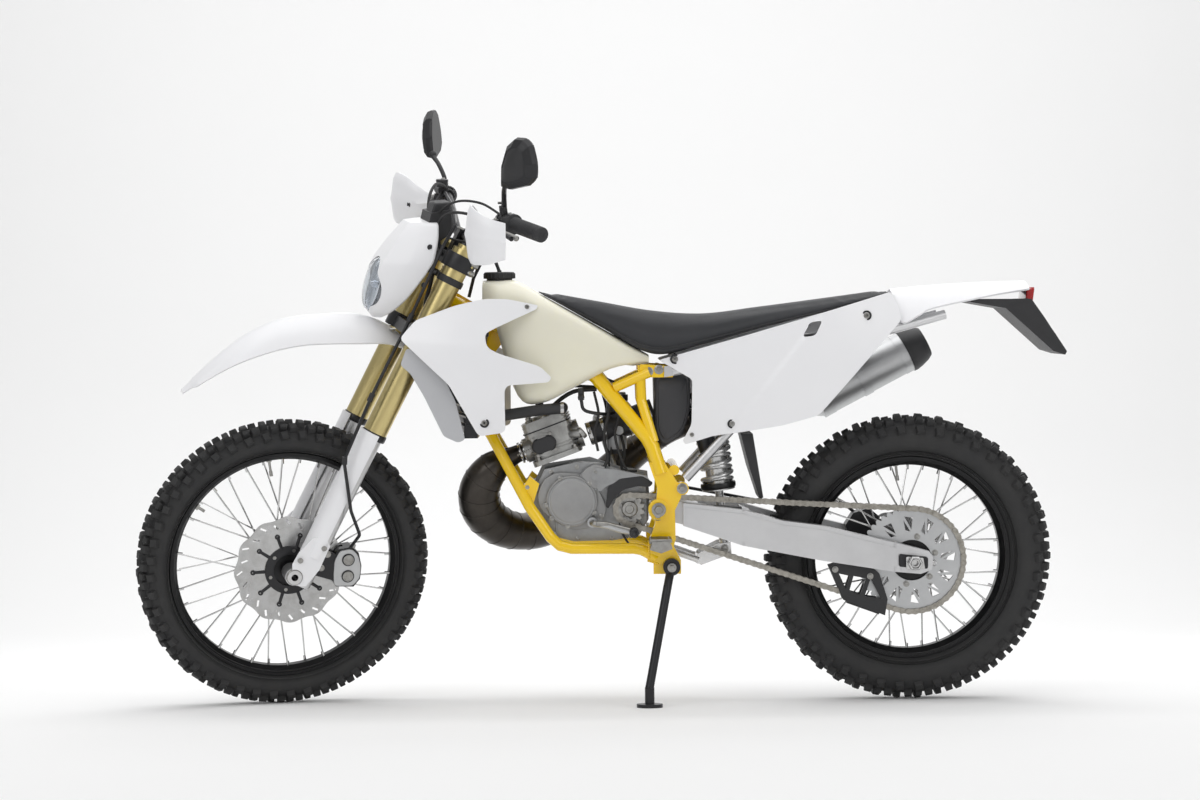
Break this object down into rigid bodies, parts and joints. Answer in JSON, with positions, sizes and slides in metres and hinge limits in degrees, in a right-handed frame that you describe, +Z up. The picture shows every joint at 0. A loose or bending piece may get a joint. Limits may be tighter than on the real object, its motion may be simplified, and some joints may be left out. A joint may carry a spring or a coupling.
{
  "type": "trail motorcycle",
  "caption": "Two-stroke trail motorcycle with knobby tyres, yellow frame, white plastics and open engine, leaning on its side stand.",
  "frame": {"origin": "centre of the bounding box, on the ground", "axes": "+X to the rear along the wheelbase, +Y to the right side, +Z up; the front wheel is at -X"},
  "size_m": [2.168, 0.8126, 1.457],
  "materials": {
    "frame_yellow": "gloss",
    "subframe_silver": "satin",
    "engine_grey": "satin",
    "cylinder_grey": "matte",
    "pipe_steel": "satin",
    "silencer_alloy": "satin",
    "black_plastic": "matte",
    "radiator_black": "matte",
    "tank_cream": "satin",
    "seat_cover": "matte",
    "white_plastic": "gloss",
    "red_lens": "gloss",
    "swingarm_alloy": "brushed",
    "bright_steel": "brushed",
    "chain_steel": "satin",
    "sprocket_alloy": "satin",
    "disc_steel": "brushed",
    "tyre_rubber": "matte",
    "rim_black": "satin",
    "fork_gold": "satin",
    "black_metal": "satin"
  },
  "bodies": {
    "chassis": {"frame": "frame_yellow", "cradle": "frame_yellow", "subframe": "subframe_silver", "engine_cases": "engine_grey", "cylinder": "cylinder_grey", "exhaust_pipe": "pipe_steel", "silencer": "silencer_alloy", "intake": "black_plastic", "radiators": "radiator_black", "tank": "tank_cream", "seat": "seat_cover", "shrouds": "white_plastic", "side_panels": "white_plastic", "rear_fender": "white_plastic", "tail_light": "red_lens", "plate_flap": "black_plastic", "swingarm": "swingarm_alloy", "rear_axle": "bright_steel", "chain": "chain_steel", "chain_guide": "black_plastic", "shock": "bright_steel", "pedals": "bright_steel", "rear_caliper": "black_metal"},
    "rear_wheel": {"rear_tyre": "tyre_rubber", "rear_rim": "rim_black", "rear_spokes": "bright_steel", "rear_hub": "rim_black", "rear_sprocket": "sprocket_alloy", "rear_disc": "disc_steel"},
    "front_wheel": {"front_tyre": "tyre_rubber", "front_rim": "rim_black", "front_spokes": "bright_steel", "front_hub": "rim_black", "front_disc": "disc_steel"},
    "front_fork": {"fork_tubes": "fork_gold", "fork_lowers": "bright_steel", "front_axle": "bright_steel", "triple_clamps": "black_metal", "fork_guards": "white_plastic", "front_fender": "white_plastic", "headlight": "white_plastic", "handlebar": "black_metal", "hand_guards": "white_plastic", "front_caliper": "black_metal"},
    "stand": {"side_stand": "black_metal"}
  },
  "joints": [
    {"name": "rear_wheel_spin", "type": "hinge", "parent": "chassis", "child": "rear_wheel", "pos_m": [0.72987, 0.11995, 0.3402], "axis": [0, 0.9945, 0.1045], "continuous": true},
    {"name": "steering", "type": "hinge", "parent": "chassis", "child": "front_fork", "pos_m": [-0.369, 0.0548, 0.96], "axis": [0.4588, -0.0929, 0.8837], "range_deg": [-63, 21]},
    {"name": "front_wheel_spin", "type": "hinge", "parent": "front_fork", "child": "front_wheel", "pos_m": [-0.74889, 0.10041, 0.33758], "axis": [-0.3184, 0.9113, 0.2611], "continuous": true},
    {"name": "side_stand_fold", "type": "hinge", "parent": "chassis", "child": "stand", "pos_m": [0.16589, 0.00022, 0.32172], "axis": [0, -0.9945, -0.1045], "range_deg": [0, 76]}
  ]
}
